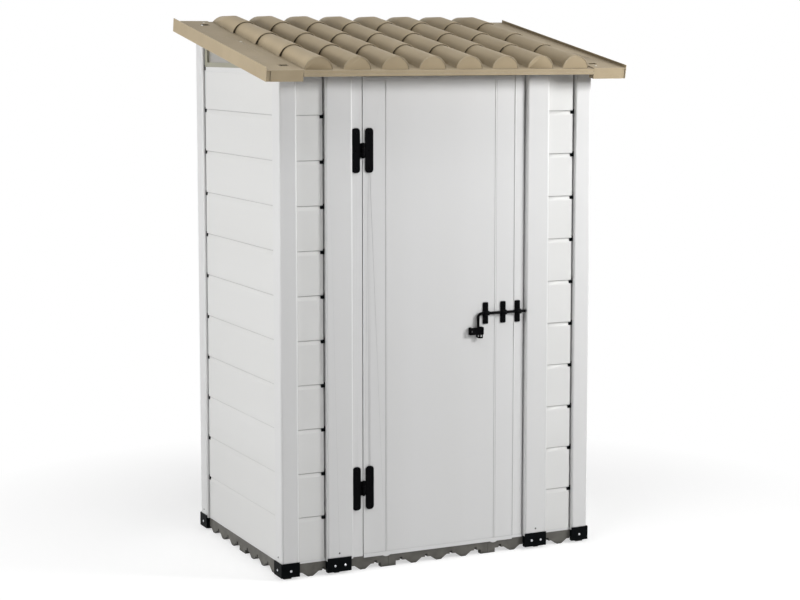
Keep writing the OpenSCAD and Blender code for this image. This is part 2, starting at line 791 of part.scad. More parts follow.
module roof_panel(side) {
    half = columns / 2;
    first = side == "left" ? 0 : half;
    x0 = side == "left" ? recess + 1 : wall_w / 2 + clear / 2;
    x1 = side == "left" ? wall_w / 2 - clear / 2 : wall_w - recess - 1;
    color("#a8977a") on_roof() difference() {
        union() {
            translate([x0, sheet_t, -sheet_t]) cube([x1 - x0, roof_len - sheet_t, sheet_t]);
            intersection() {
                union() for (i = [0:half - 1]) translate([column_x(first + i), 0, 0])
                    for (k = [0:tiles - 1]) tile_body(k);
                translate([x0, 0, -sheet_t / 2]) cube([x1 - x0, roof_len, 2 * tile_r]);
            }
        }
        for (i = [0:half - 1]) translate([column_x(first + i), 0, 0])
            for (k = [0:tiles - 1]) tile_hollow(k);
        mirror_x(side) roof_screw_holes(side);
        mirror_x(side) tray_slots();
    }
}

// Two slots through the tray and the sheet that lean back under it
module tray_slots() {
    deep = slot_l + 2 * sheet_t;
    for (v = [slot_v, roof_len - slot_v - slot_l])
        translate([slot_x, v, sheet_t]) rotate([slot_lean, 0, 0]) translate([0, 0, -deep])
            cube([slot_w, slot_l * cos(slot_lean), 2 * deep]);
}

function screw_rows(side) = concat(
    side == "left" ? [] : [roof_screw_set], [roof_screw_v, roof_len - roof_screw_set]);

module roof_screw_holes(side) {
    for (v = screw_rows(side)) translate([roof_screw_x, v, -2 * gable_rail])
        cylinder(r = screw_r, h = 2 * gable_rail + 2 * sheet_t);
}

// Flat half discs that close the mouths of the lowest tiles
module tile_end_caps() {
    r = tile_r - tile_wall - clear - 0.1;
    color("#ab9a80") on_roof() for (i = [0:columns - 1])
        translate([column_x(i), tile_set + cap_set, -tile_sink]) intersection() {
            rotate([-90, 0, 0]) cylinder(r = r, h = tile_wall);
            translate([-r, -1, tile_sink - sheet_t]) cube([2 * r, 5, r]);
        }
}

// Side tray with its outer skirt, rim and the deep block at the eave
module verge(side) {
    t = sheet_t;
    color("#ac9c80") on_roof() mirror_x(side) difference() {
        union() {
            translate([-side_over, 0, -skirt_d]) cube([t, roof_len, skirt_d + rim_h]);
            translate([-side_over, 0, 0]) cube([block_w, roof_len, t]);
            translate([-side_over + fillet_w, 0, -skirt_d]) cube([block_w - fillet_w, t, skirt_d + t]);
            translate([-side_over, fillet_d, -skirt_d]) cube([fillet_w + t, t, skirt_d + t]);
            translate([verge_inner_x - t, 0, -skirt_d]) cube([t, block_l, skirt_d - sheet_t]);
            translate([-side_over, roof_len - t, -skirt_d]) cube([side_over - 2, t, skirt_d + t]);
        }
        tray_slots();
        roof_screw_holes(side);
    }
}

module roof_screws() {
    color("#e9e6dc") on_roof() for (side = ["left", "right"]) mirror_x(side)
        for (v = screw_rows(side)) translate([roof_screw_x, v, sheet_t])
            rotate([-90, 0, 0]) pan_screw(5, 2.4, screw_r, 2 * sheet_t + 4);
}

// Front trim between the two deep blocks, with a ledge under the sheet
module eave_fascia() {
    x0 = verge_inner_x + clear;
    w = wall_w - 2 * x0;
    color("#ad9f88") on_roof() translate([x0, 0, 0]) {
        translate([0, 0, -fascia_d]) cube([w, sheet_t - 0.1, fascia_d]);
        translate([0, -1, -fascia_d]) cube([w, 2, lip_band_h]);
        translate([0, sheet_t - 1, -2 * sheet_t]) cube([w, ledge_w, sheet_t - 0.1]);
    }
}

// Door

// Hollow upright board between two heights; x runs from its left edge, front towards -Y
module board(x, w, z0, z1, cells) {
    cell = (w - skin) / cells;
    translate([x, recess, z0]) linear_extrude(z1 - z0) difference() {
        square([w, plank_t]);
        for (i = [0:cells - 1]) translate([skin + i * cell, skin]) square([cell - skin, plank_t - 2 * skin]);
    }
}

module door_left_board() {
    color("#f2f2ef") site() difference() {
        board(door_x, left_board_w - 0.1, door_z + rail_h, door_top - rail_h, 2);
        leaf_screw_holes(1);
    }
}

module door_centre_panel() {
    color("#f4f4f1") site() difference() {
        board(centre_x, centre_w - 0.1, door_z + rail_h, door_top - rail_h, 8);
        strap_screw_holes();
    }
}

module door_right_board() {
    color("#f4f4f1") site() difference() {
        board(right_board_x, right_board_w - 0.1, door_z + rail_h, door_top - rail_h, 2);
        strap_screw_holes();
    }
}

// Edge profile on the bolt side, with a raised bead along its left
module door_lock_stile() {
    color("#f4f4f1") site() difference() {
        union() {
            board(stile_x, stile_w, sole_z, door_top, 1);
            translate([stile_x + 4, recess + 1, sole_z]) cylinder(r = 3, h = door_top - sole_z);
            translate([stile_x, recess - lip_t, door_z + 4]) cube([stile_w, lip_t - clear, rail_h - 4]);
            translate([stile_x, recess - lip_t, sole_z]) cube([stile_w, lip_t, rail_h - sole_z + door_z]);
        }
        strap_screw_holes();
        translate([stile_x - 1, recess - 4, bolt_z - strap_h / 2 - 1]) cube([10, 4, strap_h + 2]);
    }
}

// Joint strip between two boards, with a low bead along its face
module door_joint(x, w) {
    joint_set = 0.6;
    board_h = door_top - door_z - 2 * rail_h;
    color("#f4f4f1") site() difference() {
        union() {
            translate([x, recess + joint_set, door_z + rail_h]) cube([w - 0.1, plank_t - joint_set, board_h]);
            translate([x + w * 0.62, recess + 1.4, door_z + rail_h])
                cylinder(r = min(w / 3, 2.4), h = board_h);
        }
        translate([x + skin, recess + 3 * skin, door_z])
            cube([w - 2 * skin, plank_t - 4 * skin, door_top - door_z]);
    }
}

// Outline of the bottom rail with a drop under each joint strip
module bottom_rail_outline() {
    square([stile_x - door_x - 0.1, rail_h - 0.1]);
    for (x = [joint_l_x + joint_l_w / 2, joint_r_x + joint_r_w / 2])
        translate([x - door_x, 0]) intersection() {
            translate([0, drop_r - drop_d]) circle(drop_r);
            translate([-drop_r, -drop_d]) square([2 * drop_r, rail_h]);
        }
}

// Rail under the boards, with a lip that hangs in front of the floor's edge
module door_bottom_rail() {
    color("#f2f2ef") site() difference() {
        translate([door_x, recess + plank_t, door_z]) rotate([90, 0, 0]) linear_extrude(plank_t + lip_t)
            bottom_rail_outline();
        translate([door_x - 1, recess - clear, door_z - rail_h])
            cube([door_w, plank_t + 1, sole_z - door_z + rail_h]);
        translate([door_x + skin, recess + skin, sole_z + skin])
            cube([stile_x - door_x - 2 * skin, plank_t - 2 * skin, rail_h]);
    }
}

module door_top_rail() {
    color("#f2f2ef") site() difference() {
        translate([door_x, recess - 1, door_top - rail_h + 0.1])
            cube([stile_x - door_x - 0.1, plank_t + 1, rail_h - 0.1]);
        translate([door_x + skin, recess + skin, door_top - rail_h - 1])
            cube([stile_x - door_x - 2 * skin, plank_t - 2 * skin, rail_h - skin]);
    }
}

// Hinges

// Bar of a hinge leaf with round ends; dir is -1 on the frame side and 1 on the door side
module hinge_bar(dir) {
    x = dir * (bar_off + bar_w / 2);
    r = bar_w / 2 - 3;
    rotate([90, 0, 0]) linear_extrude(leaf_t) difference() {
        translate([x, 0]) union() {
            square([bar_w, bar_h - 2 * r], center = true);
            square([bar_w - 2 * r, bar_h], center = true);
            for (sx = [-1, 1]) for (sz = [-1, 1])
                translate([sx * (bar_w / 2 - r), sz * (bar_h / 2 - r)]) circle(r);
        }
        for (z = screw_steps) translate([x, z]) circle(screw_r + 0.1);
    }
}

module hinge_leaf(dir, z) {
    third = barrel_h / 3;
    parts = dir < 0 ? [-1, 1] : [0];
    color("#17191a") site() translate([hinge_x, 0, z]) {
        translate([0, recess, 0]) hinge_bar(dir);
        difference() {
            for (k = parts) translate([0, hinge_y, k * third - third / 2 + clear / 2]) {
                cylinder(r = barrel_r, h = third - clear);
                translate([dir < 0 ? -bar_off - 1 : 0, recess - hinge_y - leaf_t, 0])
                    cube([bar_off + 1, leaf_t - clear, third - clear]);
            }
            translate([0, hinge_y, -barrel_h])
                cylinder(r = pin_r + (dir < 0 ? 0 : pin_fit), h = 2 * barrel_h);
        }
    }
}

module hinge_pin(z) {
    color("#2a2c2e") site() translate([hinge_x, hinge_y, z - barrel_h / 2]) {
        cylinder(r = pin_r, h = barrel_h);
        translate([0, 0, barrel_h]) cylinder(r1 = barrel_r - 1, r2 = barrel_r - 2.2, h = 2);
        translate([0, 0, -2]) cylinder(r1 = barrel_r - 2.2, r2 = barrel_r - 1, h = 2);
    }
}

module leaf_screw_holes(dir) {
    for (z = hinge_zs) for (s = screw_steps)
        translate([hinge_x + dir * (bar_off + bar_w / 2), recess - leaf_t, z + s]) rotate([-90, 0, 0])
            cylinder(r = screw_r, h = leaf_t + screw_l);
}

module leaf_screws(dir) {
    for (z = hinge_zs) for (s = screw_steps)
        translate([hinge_x + dir * (bar_off + bar_w / 2), recess - leaf_t, z + s])
            pan_screw(screw_head_r, 1.8, screw_r, leaf_t + screw_l - 4);
}

module hinge_frame_screws() {
    color("#202224") site() leaf_screws(-1);
}

// Bolt

module strap_screw_holes() {
    for (x = strap_x) for (z = strap_screw_z)
        translate([x + strap_w / 2, recess - strap_t, z]) rotate([-90, 0, 0])
            cylinder(r = screw_r, h = screw_l + strap_t);
    for (x = bridge_screw_x()) translate([x, recess - bridge_t, bridge_z]) rotate([-90, 0, 0])
        cylinder(r = screw_r, h = screw_l + bridge_t);
}

function bridge_screw_x() = [bridge_x0 + bridge_foot / 2 + 1, bridge_x1 - bridge_foot / 2 - 1];

module door_screws() {
    color("#202224") site() {
        leaf_screws(1);
        for (x = strap_x) for (z = strap_screw_z)
            translate([x + strap_w / 2, recess - strap_t, z]) pan_screw(screw_head_r, 1.8, screw_r, screw_l);
        for (x = bridge_screw_x()) translate([x, recess - bridge_t, bridge_z]) rotate([-90, 0, 0]) {
            cylinder(r1 = bridge_head_r, r2 = screw_r, h = bridge_t);
            cylinder(r = screw_r, h = screw_l);
        }
    }
}

// Guide strap: two ears on the door and a saddle round the rod
module bolt_straps() {
    r = rod_r + rod_fit;
    ear_r = 4;
    color("#151718") site() for (x = strap_x) difference() {
        union() {
            translate([x + strap_w / 2, recess, bolt_z]) rotate([90, 0, 0]) linear_extrude(strap_t) union() {
                square([strap_w, strap_h - 2 * ear_r], center = true);
                square([strap_w - 2 * ear_r, strap_h], center = true);
                for (sx = [-1, 1]) for (sz = [-1, 1])
                    translate([sx * (strap_w / 2 - ear_r), sz * (strap_h / 2 - ear_r)]) circle(ear_r);
            }
            translate([x, rod_y, bolt_z]) rotate([0, 90, 0]) cylinder(r = r + 3, h = strap_w);
            translate([x, rod_y, bolt_z - r - 3]) cube([strap_w, rod_off - strap_t / 2, 2 * r + 6]);
        }
        translate([x - 1, rod_y, bolt_z]) rotate([0, 90, 0]) cylinder(r = r, h = strap_w + 2);
        translate([x - 1, recess, bolt_z - strap_h]) cube([strap_w + 2, 10, 2 * strap_h]);
        for (z = strap_screw_z) translate([x + strap_w / 2, recess - 10, z])
            rotate([-90, 0, 0]) cylinder(r = screw_r + 0.1, h = 20);
    }
}

// Bridge over the handle, with feet on the door and the padlock tab under it
module bolt_bridge() {
    w = bridge_x1 - bridge_x0;
    tab_w = 2 * eye_ring_r - 3;
    hole_x = handle_x + bolt_close;
    color("#151718") site() difference() {
        union() {
            translate([bridge_x0, bridge_y, bridge_z - bridge_h / 2]) cube([w, bridge_t, bridge_h]);
            for (x = [bridge_x0, bridge_x1 - bridge_t])
                translate([x, bridge_y, bridge_z - bridge_h / 2])
                    cube([bridge_t, recess - bridge_y, bridge_h]);
            for (x = [bridge_x0, bridge_x1 - bridge_foot])
                translate([x, recess - bridge_t, bridge_z - bridge_h / 2])
                    cube([bridge_foot, bridge_t, bridge_h]);
            translate([hole_x - tab_w / 2, bridge_y, eye_z - eye_ring_r])
                cube([tab_w, bridge_t, bridge_z - eye_z]);
        }
        translate([hole_x, bridge_y - 1, eye_z]) rotate([-90, 0, 0]) cylinder(r = eye_r, h = bridge_t + 2);
        for (x = bridge_screw_x()) translate([x, 0, bridge_z]) {
            translate([0, bridge_y - 1, 0]) rotate([-90, 0, 0]) cylinder(r = bridge_head_r, h = bridge_t + 2);
            translate([0, recess - bridge_t, 0]) rotate([-90, 0, 0])
                cylinder(r1 = bridge_head_r, r2 = screw_r, h = bridge_t);
        }
    }
}

// Rod with its bent handle and the padlock eye at the end
module bolt_rod() {
    color("#1b1d1f") site() {
        translate([handle_x + bend_r, rod_y, bolt_z]) rotate([0, 90, 0])
            cylinder(r = rod_r, h = rod_tip_x - handle_x - bend_r);
        translate([handle_x + bend_r, rod_y, bolt_z - bend_r]) rotate([90, 0, 0]) rotate([0, 0, 90])
            rotate_extrude(angle = 90) translate([bend_r, 0]) circle(rod_r);
        difference() {
            union() {
                translate([handle_x, rod_y, eye_z + eye_r])
                    cylinder(r = rod_r, h = handle_l - bend_r - eye_r);
                translate([handle_x, eye_y, eye_z]) rotate([-90, 0, 0]) cylinder(r = eye_ring_r, h = eye_t);
            }
            translate([handle_x, eye_y - 10, eye_z]) rotate([-90, 0, 0]) cylinder(r = eye_r, h = 30);
        }
    }
}

for (i = [1:tile_nx * tile_ny]) {
    floor_tile_drilled(i - 1);
}
corner_shoe("left", "front");  // corner_shoe_front_left
corner_shoe("right", "front");  // corner_shoe_front_right
corner_shoe("left", "rear");  // corner_shoe_rear_left
corner_shoe("right", "rear");  // corner_shoe_rear_right
jamb_shoe("left");  // jamb_shoe_left
jamb_shoe("right");  // jamb_shoe_right
shoe_screws();
corner_post("left", "front");  // corner_post_front_left
corner_post("right", "front");  // corner_post_front_right
corner_post("left", "rear");  // corner_post_rear_left
corner_post("right", "rear");  // corner_post_rear_right
corner_strips();
door_jamb("left");  // door_jamb_left
door_jamb("right");  // door_jamb_right
post_screws();
wall_sills();
side_wall_planks("left");  // left_wall_planks
side_wall_planks("right");  // right_wall_planks
rear_wall_planks();
front_planks("left");  // front_left_planks
front_planks("right");  // front_right_planks
plank_clips();
gable_frame("left");  // gable_frame_left
gable_frame("right");  // gable_frame_right
gable_pane("left");  // gable_pane_left
gable_pane("right");  // gable_pane_right
front_header();
roof_purlin();
roof_panel("left");  // roof_panel_left
roof_panel("right");  // roof_panel_right
verge("left");  // verge_left
verge("right");  // verge_right
eave_fascia();
tile_end_caps();
roof_screws();
door_left_board();
door_centre_panel();
door_right_board();
door_lock_stile();
door_joint(joint_l_x, joint_l_w);  // door_joint_left
door_joint(joint_r_x, joint_r_w);  // door_joint_right
door_bottom_rail();
door_top_rail();
hinge_leaf(-1, hinge_lower_z);  // hinge_frame_leaf_lower
hinge_leaf(-1, hinge_upper_z);  // hinge_frame_leaf_upper
hinge_leaf(1, hinge_lower_z);  // hinge_door_leaf_lower
hinge_leaf(1, hinge_upper_z);  // hinge_door_leaf_upper
hinge_pin(hinge_lower_z);  // hinge_pin_lower
hinge_pin(hinge_upper_z);  // hinge_pin_upper
hinge_frame_screws();
door_screws();
bolt_straps();
bolt_bridge();
bolt_rod();
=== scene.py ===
"""Looks of the garden shed: finishes, fine pieces, light and camera."""

import json
import logging
import math
from dataclasses import dataclass, replace
from enum import Enum
from typing import ClassVar

import bmesh
import bpy
import numpy as np
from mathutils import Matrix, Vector


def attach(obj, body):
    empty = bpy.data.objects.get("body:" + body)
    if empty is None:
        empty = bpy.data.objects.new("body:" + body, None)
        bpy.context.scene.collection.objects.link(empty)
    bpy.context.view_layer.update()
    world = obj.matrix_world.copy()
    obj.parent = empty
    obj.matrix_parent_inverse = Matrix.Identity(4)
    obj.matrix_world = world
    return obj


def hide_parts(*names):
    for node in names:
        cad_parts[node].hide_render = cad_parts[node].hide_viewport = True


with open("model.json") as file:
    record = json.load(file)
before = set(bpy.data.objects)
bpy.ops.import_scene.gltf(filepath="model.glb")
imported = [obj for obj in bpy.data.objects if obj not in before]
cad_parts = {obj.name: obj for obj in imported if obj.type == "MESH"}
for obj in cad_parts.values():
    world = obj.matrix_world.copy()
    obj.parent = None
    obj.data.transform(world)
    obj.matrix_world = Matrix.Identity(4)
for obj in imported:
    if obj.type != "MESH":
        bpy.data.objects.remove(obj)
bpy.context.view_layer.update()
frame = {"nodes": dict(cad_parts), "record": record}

LOG = logging.getLogger("garden_shed")
MM = 0.001
Point = tuple[float, float, float]
Colour = tuple[float, float, float]


class Body(Enum):
    """The moving bodies of the shed."""

    SHELL = "shell"
    DOOR = "door"
    BOLT = "bolt"


class Grain(Enum):
    """Direction in which an extruded piece was drawn, as a stretch of its texture."""

    NONE = (1.0, 1.0, 1.0)
    UPRIGHT = (1.0, 1.0, 0.02)
    LEVEL = (0.02, 0.02, 1.0)


# ---- Helpers ----


def calculation(tree: bpy.types.NodeTree, operation: str, clamp: bool = False) -> bpy.types.Node:
    """Adds a node that calculates with numbers.

    Args:
        tree: the tree that gets the node.
        operation: what it calculates.
        clamp: whether its result stays between 0 and 1.

    Returns:
        The new node.
    """
    node = tree.nodes.new("ShaderNodeMath")
    node.operation = operation
    node.use_clamp = clamp
    return node


def stretched_place(tree: bpy.types.NodeTree, stretch: bpy.types.NodeSocket) -> bpy.types.NodeSocket:
    """Adds nodes that stretch a piece's own coordinates.

    Args:
        tree: the tree that gets the nodes.
        stretch: socket of the stretch along each axis.

    Returns:
        The socket of the stretched coordinates.
    """
    place = tree.nodes.new("ShaderNodeTexCoord")
    product = tree.nodes.new("ShaderNodeVectorMath")
    product.operation = "MULTIPLY"
    tree.links.new(place.outputs["Object"], product.inputs[0])
    tree.links.new(stretch, product.inputs[1])
    return product.outputs[0]


def plain_sight(tree: bpy.types.NodeTree) -> bpy.types.NodeSocket:
    """Adds nodes that tell what is seen, mirrored or seen through a pane from what only lights.

    Args:
        tree: the tree that gets the nodes.

    Returns:
        The socket that is 1 for camera, glossy and transmission rays.
    """
    path = tree.nodes.new("ShaderNodeLightPath")
    glossy = calculation(tree, "MAXIMUM")
    through = calculation(tree, "MAXIMUM")
    tree.links.new(path.outputs["Is Camera Ray"], glossy.inputs[0])
    tree.links.new(path.outputs["Is Glossy Ray"], glossy.inputs[1])
    tree.links.new(glossy.outputs[0], through.inputs[0])
    tree.links.new(path.outputs["Is Transmission Ray"], through.inputs[1])
    return through.outputs[0]


def bridge(shape: bmesh.types.BMesh, rings: list[list[bmesh.types.BMVert]]) -> None:
    """Joins each closed ring of corners to the next one with faces.

    Args:
        shape: the mesh that holds the corners.
        rings: rings with the same number of corners.
    """
    for ring, following in zip(rings, rings[1:]):
        count = len(ring)
        for i in range(count):
            j = (i + 1) % count
            shape.faces.new((ring[i], ring[j], following[j], following[i]))


# ---- Shared effects ----


class Effects:
    """Node groups that several finishes share."""

    def __init__(self) -> None:
        """Builds every group once."""
        self.clouds = self._clouds()
        self.edges = self._edges()
        self.grain = self._grain()
        self.dust = self._dust()
        self.crevices = self._crevices()

    @staticmethod
    def _group(name: str, inputs: dict[str, tuple[str, object]], outputs: dict[str, str]):
        """Makes an empty node group with its sockets.

        Args:
            name: the group's name.
            inputs: socket name to socket type and default value.
            outputs: socket name to socket type.

        Returns:
            The tree, its input node and its output node.
        """
        tree = bpy.data.node_groups.new(name, "ShaderNodeTree")
        for label, (kind, value) in inputs.items():
            tree.interface.new_socket(label, in_out="INPUT", socket_type=kind).default_value = value
        for label, kind in outputs.items():
            tree.interface.new_socket(label, in_out="OUTPUT", socket_type=kind)
        return tree, tree.nodes.new("NodeGroupInput"), tree.nodes.new("NodeGroupOutput")

    def _clouds(self) -> bpy.types.NodeTree:
        """Slow change between two colours over the surface.

        Returns:
            The node group.
        """
        tree, ins, outs = self._group(
            "slow tint",
            {"Colour A": ("NodeSocketColor", (1, 1, 1, 1)), "Colour B": ("NodeSocketColor", (1, 1, 1, 1)),
             "Scale": ("NodeSocketFloat", 4.0), "Stretch": ("NodeSocketVector", (1, 1, 1))},
            {"Colour": "NodeSocketColor"})
        noise = tree.nodes.new("ShaderNodeTexNoise")
        noise.inputs["Detail"].default_value = 5.0
        spread = tree.nodes.new("ShaderNodeMapRange")
        spread.inputs["From Min"].default_value = 0.32
        spread.inputs["From Max"].default_value = 0.68
        mix = tree.nodes.new("ShaderNodeMix")
        mix.data_type = "RGBA"
        link = tree.links.new
        link(stretched_place(tree, ins.outputs["Stretch"]), noise.inputs["Vector"])
        link(ins.outputs["Scale"], noise.inputs["Scale"])
        link(noise.outputs["Fac"], spread.inputs["Value"])
        link(spread.outputs["Result"], mix.inputs["Factor"])
        link(ins.outputs["Colour A"], mix.inputs["A"])
        link(ins.outputs["Colour B"], mix.inputs["B"])
        link(mix.outputs["Result"], outs.inputs["Colour"])
        return tree

    def _edges(self) -> bpy.types.NodeTree:
        """Mask that is bright on the edges of a piece, for edge wear together with a painted highlight.

        Returns:
            The node group.
        """
        tree, ins, outs = self._group(
            "edge wear and painted highlight",
            {"Strength": ("NodeSocketFloat", 4.0), "Scale": ("NodeSocketFloat", 60.0),
             "Radius": ("NodeSocketFloat", 1.2 * MM)},
            {"Mask": "NodeSocketFloat"})
        bevel = tree.nodes.new("ShaderNodeBevel")
        bevel.samples = 4
        shape = tree.nodes.new("ShaderNodeNewGeometry")
        dot = tree.nodes.new("ShaderNodeVectorMath")
        dot.operation = "DOT_PRODUCT"
        turn = calculation(tree, "SUBTRACT")
        turn.inputs[0].default_value = 1.0
        place = tree.nodes.new("ShaderNodeTexCoord")
        noise = tree.nodes.new("ShaderNodeTexNoise")
        worn_and_lit = calculation(tree, "MULTIPLY")
        gain = calculation(tree, "MULTIPLY", clamp=True)
        link = tree.links.new
        link(ins.outputs["Radius"], bevel.inputs["Radius"])
        link(bevel.outputs["Normal"], dot.inputs[0])
        link(shape.outputs["Normal"], dot.inputs[1])
        link(dot.outputs["Value"], turn.inputs[1])
        link(place.outputs["Object"], noise.inputs["Vector"])
        link(ins.outputs["Scale"], noise.inputs["Scale"])
        link(turn.outputs[0], worn_and_lit.inputs[0])
        link(noise.outputs["Fac"], worn_and_lit.inputs[1])
        link(worn_and_lit.outputs[0], gain.inputs[0])
        link(ins.outputs["Strength"], gain.inputs[1])
        link(gain.outputs[0], outs.inputs["Mask"])
        return tree

    def _grain(self) -> bpy.types.NodeTree:
        """Fine moulded or drawn texture, as a height and a roughness change.

        Returns:
            The node group.
        """
        tree, ins, outs = self._group(
            "moulded grain",
            {"Scale": ("NodeSocketFloat", 900.0), "Stretch": ("NodeSocketVector", (1, 1, 1)),
             "Roughness": ("NodeSocketFloat", 0.4), "Change": ("NodeSocketFloat", 0.1)},
            {"Height": "NodeSocketFloat", "Roughness": "NodeSocketFloat"})
        fine = tree.nodes.new("ShaderNodeTexNoise")
        fine.inputs["Detail"].default_value = 2.0
        broad = tree.nodes.new("ShaderNodeTexNoise")
        broad.inputs["Scale"].default_value = 9.0
        broad.inputs["Detail"].default_value = 3.0
        middle = calculation(tree, "SUBTRACT")
        middle.inputs[1].default_value = 0.5
        change = calculation(tree, "MULTIPLY_ADD")
        link = tree.links.new
        place = stretched_place(tree, ins.outputs["Stretch"])
        link(place, fine.inputs["Vector"])
        link(place, broad.inputs["Vector"])
        link(ins.outputs["Scale"], fine.inputs["Scale"])
        link(fine.outputs["Fac"], outs.inputs["Height"])
        link(broad.outputs["Fac"], middle.inputs[0])
        link(middle.outputs[0], change.inputs[0])
        link(ins.outputs["Change"], change.inputs[1])
        link(ins.outputs["Roughness"], change.inputs[2])
        link(change.outputs[0], outs.inputs["Roughness"])
        return tree

    def _dust(self) -> bpy.types.NodeTree:
        """Mask of dust that settles on faces that look up.

        Returns:
            The node group.
        """
        tree, ins, outs = self._group(
            "settled dust", {"Amount": ("NodeSocketFloat", 0.3), "Scale": ("NodeSocketFloat", 14.0)},
            {"Mask": "NodeSocketFloat"})
        place = tree.nodes.new("ShaderNodeTexCoord")
        axes = tree.nodes.new("ShaderNodeSeparateXYZ")
        noise = tree.nodes.new("ShaderNodeTexNoise")
        noise.inputs["Detail"].default_value = 6.0
        patch = calculation(tree, "MULTIPLY", clamp=True)
        amount = calculation(tree, "MULTIPLY", clamp=True)
        link = tree.links.new
        link(place.outputs["Normal"], axes.inputs[0])
        link(place.outputs["Object"], noise.inputs["Vector"])
        link(ins.outputs["Scale"], noise.inputs["Scale"])
        link(axes.outputs["Z"], patch.inputs[0])
        link(noise.outputs["Fac"], patch.inputs[1])
        link(patch.outputs[0], amount.inputs[0])
        link(ins.outputs["Amount"], amount.inputs[1])
        link(amount.outputs[0], outs.inputs["Mask"])
        return tree

    def _crevices(self) -> bpy.types.NodeTree:
        """Mask of painted shade in valleys and narrow gaps, stronger where a point is more hidden.

        Returns:
            The node group.
        """
        tree, ins, outs = self._group(
            "painted shade in crevices", {"Amount": ("NodeSocketFloat", 1.0), "Reach": ("NodeSocketFloat", 0.05)},
            {"Mask": "NodeSocketFloat"})
        open_sky = tree.nodes.new("ShaderNodeAmbientOcclusion")
        open_sky.samples = 8
        hidden = calculation(tree, "SUBTRACT")
        hidden.inputs[0].default_value = 1.0
        amount = calculation(tree, "MULTIPLY", clamp=True)
        link = tree.links.new
        link(ins.outputs["Reach"], open_sky.inputs["Distance"])
        link(open_sky.outputs["AO"], hidden.inputs[1])
        link(hidden.outputs[0], amount.inputs[0])
        link(ins.outputs["Amount"], amount.inputs[1])
        link(amount.outputs[0], outs.inputs["Mask"])
        return tree


# ---- Finishes ----


@dataclass(frozen=True)
class Finish:
    """One finish of the shed: its colours, edge wear with a painted highlight, dust, painted shade in
    crevices and grain.

    The grain height is in millimetres. Radius and reach are in metres.
    """

    name: str
    colour: Colour
    second: Colour
    tint_scale: float = 5.0
    roughness: float = 0.4
    roughness_change: float = 0.12
    grain_scale: float = 900.0
    grain_height: float = 0.02
    grain: Grain = Grain.NONE
    # Edge colour, strength and radius: edge wear together with a painted highlight on the edges.
    edge_colour: Colour = (1.0, 1.0, 1.0)
    edge_strength: float = 0.0
    edge_radius: float = 1.2 * MM
    dust_colour: Colour = (0.5, 0.46, 0.38)
    dust: float = 0.0
    # Painted shade: a darker colour laid into valleys, joints and gaps, by how hidden each point is.
    painted_shade_colour: Colour = (0.1, 0.09, 0.07)
    painted_shade: float = 0.0
    painted_shade_reach: float = 0.05
    metallic: float = 0.0
    specular: float = 0.5
    alpha: float = 1.0

    def make(self, effects: Effects) -> bpy.types.Material:
        """Builds the material of this finish.

        Args:
            effects: the shared node groups.

        Returns:
            The new material.
        """
        material = bpy.data.materials.new(self.name)
        material.use_nodes = True
        tree = material.node_tree
        shader = tree.nodes["Principled BSDF"]
        shader.inputs["Metallic"].default_value = self.metallic
        shader.inputs["Specular IOR Level"].default_value = self.specular
        shader.inputs["Alpha"].default_value = self.alpha
        tint = self._place(tree, effects.clouds)
        tint.inputs["Colour A"].default_value = (*self.colour, 1.0)
        tint.inputs["Colour B"].default_value = (*self.second, 1.0)
        tint.inputs["Scale"].default_value = self.tint_scale
        tint.inputs["Stretch"].default_value = self.grain.value
        colour = tint.outputs["Colour"]
        # Edge wear together with a painted highlight, laid over the colour on the edges.
        if self.edge_strength:
            edges = self._place(tree, effects.edges)
            edges.inputs["Strength"].default_value = self.edge_strength
            edges.inputs["Radius"].default_value = self.edge_radius
            colour = self._over(tree, colour, self.edge_colour, edges.outputs["Mask"])
        if self.dust:
            dust = self._place(tree, effects.dust)
            dust.inputs["Amount"].default_value = self.dust
            colour = self._over(tree, colour, self.dust_colour, dust.outputs["Mask"])
        # Painted shade in valleys, joints and gaps.
        if self.painted_shade:
            painted_shade = self._place(tree, effects.crevices)
            painted_shade.inputs["Amount"].default_value = self.painted_shade
            painted_shade.inputs["Reach"].default_value = self.painted_shade_reach
            colour = self._over(tree, colour, self.painted_shade_colour, painted_shade.outputs["Mask"])
        grain = self._place(tree, effects.grain)
        grain.inputs["Scale"].default_value = self.grain_scale
        grain.inputs["Stretch"].default_value = self.grain.value
        grain.inputs["Roughness"].default_value = self.roughness
        grain.inputs["Change"].default_value = self.roughness_change
        bump = tree.nodes.new("ShaderNodeBump")
        bump.inputs["Strength"].default_value = 1.0
        bump.inputs["Distance"].default_value = self.grain_height * MM
        link = tree.links.new
        link(colour, shader.inputs["Base Color"])
        link(grain.outputs["Roughness"], shader.inputs["Roughness"])
        link(grain.outputs["Height"], bump.inputs["Height"])
        link(bump.outputs["Normal"], shader.inputs["Normal"])
        return material

    @staticmethod
    def _place(tree: bpy.types.NodeTree, group: bpy.types.NodeTree) -> bpy.types.Node:
        """Puts a shared group in a material's tree and returns its node."""
        node = tree.nodes.new("ShaderNodeGroup")
        node.node_tree = group
        return node

    @staticmethod
    def _over(tree: bpy.types.NodeTree, base: bpy.types.NodeSocket, colour: Colour,
              mask: bpy.types.NodeSocket) -> bpy.types.NodeSocket:
        """Lays a plain colour over another by a mask.

        Args:
            tree: the material's tree.
            base: socket of the colour underneath.
            colour: the colour that is laid over it.
            mask: socket that says how much of it shows.

        Returns:
            The socket of the mixed colour.
        """
        mix = tree.nodes.new("ShaderNodeMix")
        mix.data_type = "RGBA"
        mix.inputs["B"].default_value = (*colour, 1.0)
        tree.links.new(mask, mix.inputs["Factor"])
        tree.links.new(base, mix.inputs["A"])
        return mix.outputs["Result"]
